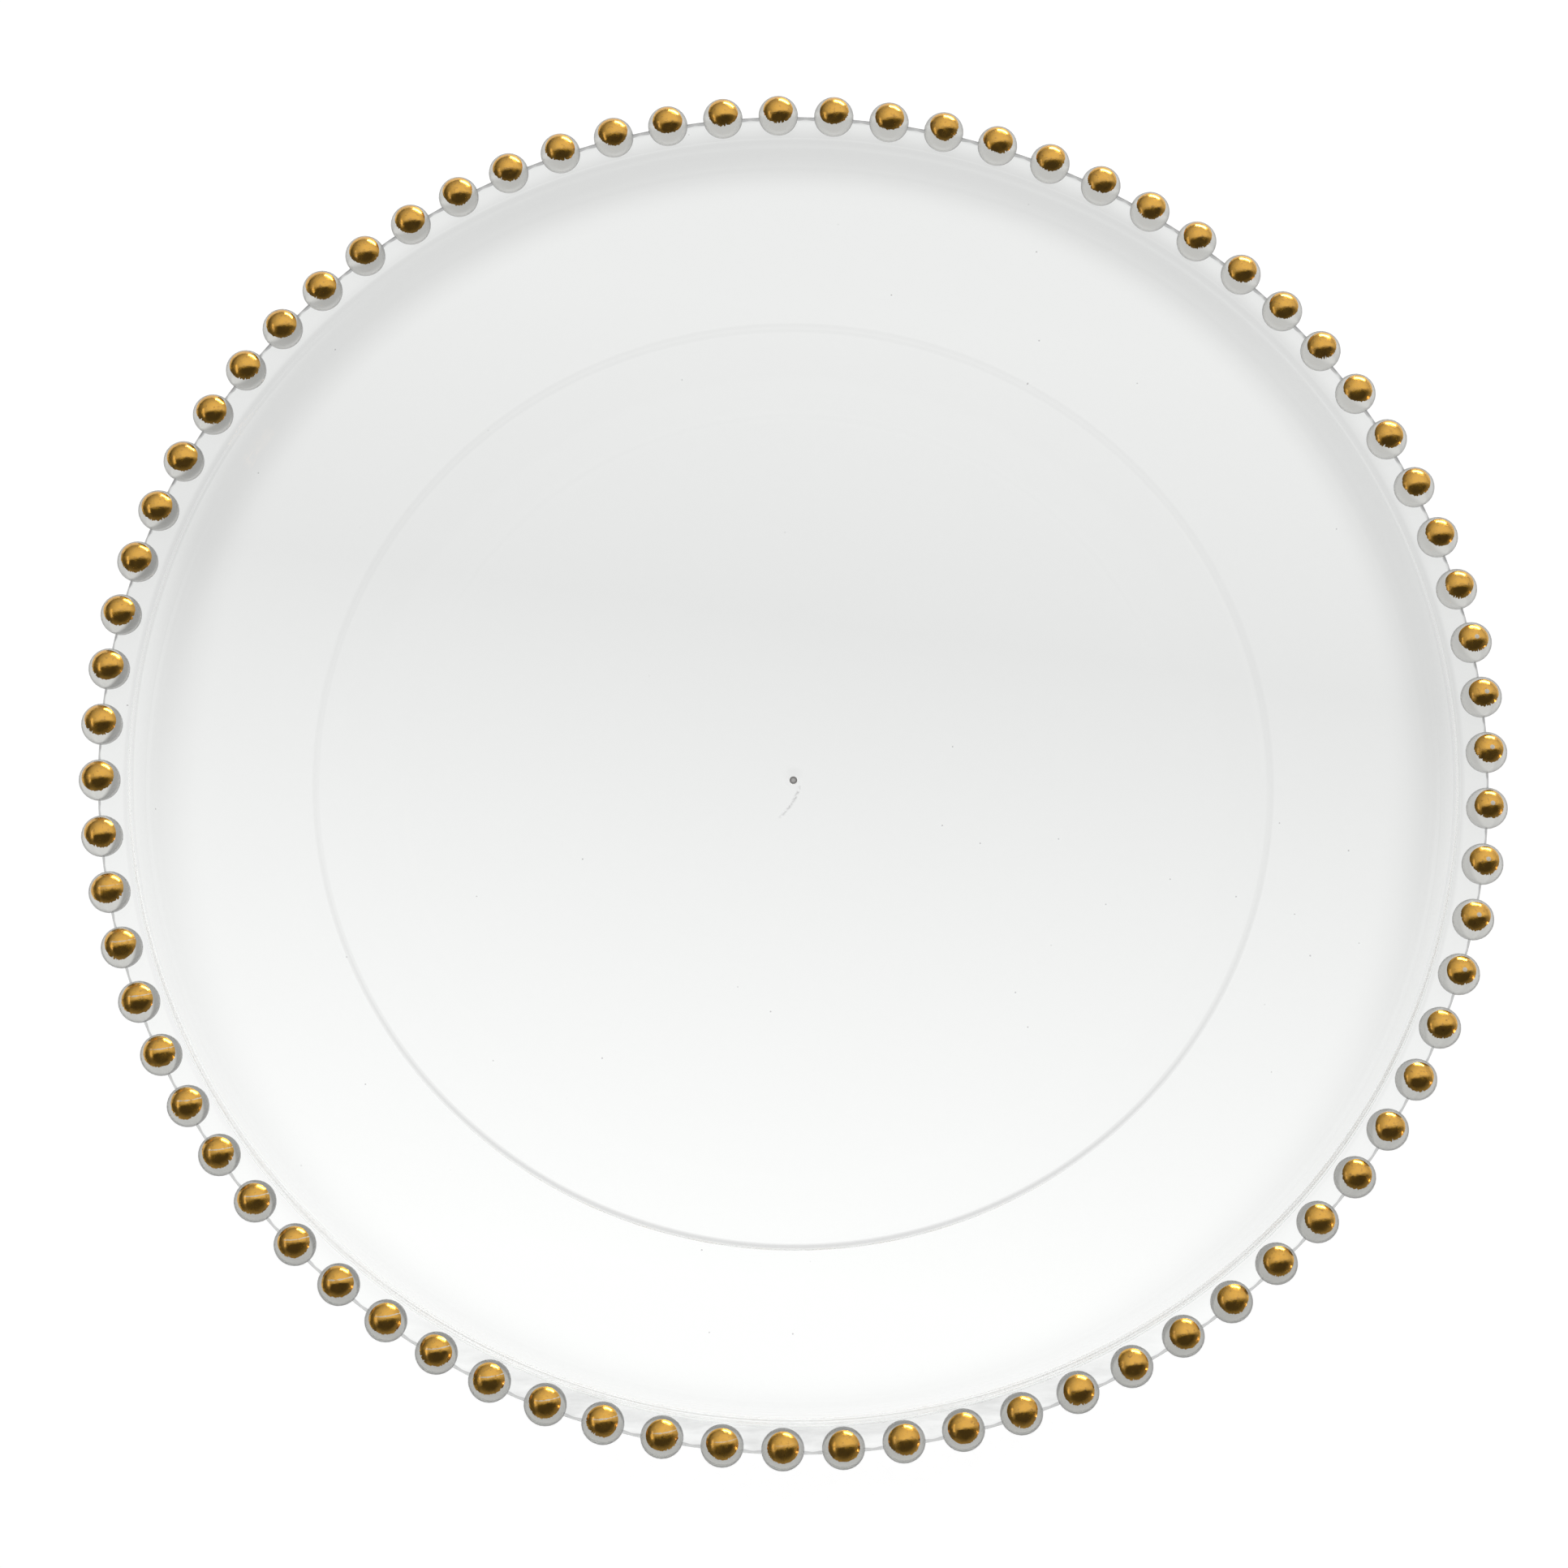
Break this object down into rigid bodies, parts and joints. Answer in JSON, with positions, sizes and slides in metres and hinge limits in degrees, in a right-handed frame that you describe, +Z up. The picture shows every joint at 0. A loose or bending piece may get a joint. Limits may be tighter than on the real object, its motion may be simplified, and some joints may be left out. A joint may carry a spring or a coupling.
{
  "type": "round serving tray",
  "caption": "Round clear plastic serving tray with a shallow well, an upright side wall and a rim of moulded beads, each crowned with gold foil.",
  "frame": {"origin": "on the tray's axis, in the plane that the foot ring stands on", "axes": "+Z up along the tray's axis, -Y to the front, where the first bead is, +X to the right"},
  "size_m": [0.33, 0.3299, 0.0301],
  "materials": {
    "clear_plastic": "clear moulded acrylic, polished, with light scuffs",
    "gold_foil": "bright hot-stamped gold foil with a ragged edge"
  },
  "bodies": {
    "root": {"clear_tray": "clear_plastic", "gold_cap_01": "gold_foil", "gold_cap_02": "gold_foil", "gold_cap_03": "gold_foil", "gold_cap_04": "gold_foil", "gold_cap_06": "gold_foil", "gold_cap_07": "gold_foil", "gold_cap_08": "gold_foil", "gold_cap_09": "gold_foil", "gold_cap_11": "gold_foil", "gold_cap_12": "gold_foil", "gold_cap_13": "gold_foil", "gold_cap_14": "gold_foil", "gold_cap_16": "gold_foil", "gold_cap_17": "gold_foil", "gold_cap_18": "gold_foil", "gold_cap_20": "gold_foil", "gold_cap_21": "gold_foil", "gold_cap_22": "gold_foil", "gold_cap_23": "gold_foil", "gold_cap_25": "gold_foil", "gold_cap_26": "gold_foil", "gold_cap_27": "gold_foil", "gold_cap_28": "gold_foil", "gold_cap_30": "gold_foil", "gold_cap_31": "gold_foil", "gold_cap_32": "gold_foil", "gold_cap_34": "gold_foil", "gold_cap_35": "gold_foil", "gold_cap_36": "gold_foil", "gold_cap_37": "gold_foil", "gold_cap_39": "gold_foil", "gold_cap_40": "gold_foil", "gold_cap_41": "gold_foil", "gold_cap_42": "gold_foil", "gold_cap_44": "gold_foil", "gold_cap_45": "gold_foil", "gold_cap_46": "gold_foil", "gold_cap_48": "gold_foil", "gold_cap_49": "gold_foil", "gold_cap_50": "gold_foil", "gold_cap_51": "gold_foil", "gold_cap_53": "gold_foil", "gold_cap_54": "gold_foil", "gold_cap_55": "gold_foil", "gold_cap_56": "gold_foil", "gold_cap_58": "gold_foil", "gold_cap_59": "gold_foil", "gold_cap_60": "gold_foil", "gold_cap_62": "gold_foil", "gold_cap_63": "gold_foil", "gold_cap_64": "gold_foil", "gold_cap_65": "gold_foil", "gold_cap_67": "gold_foil", "gold_cap_68": "gold_foil", "gold_cap_69": "gold_foil", "gold_cap_70": "gold_foil", "gold_cap_72": "gold_foil", "gold_cap_73": "gold_foil", "gold_cap_74": "gold_foil"}
  },
  "joints": []
}
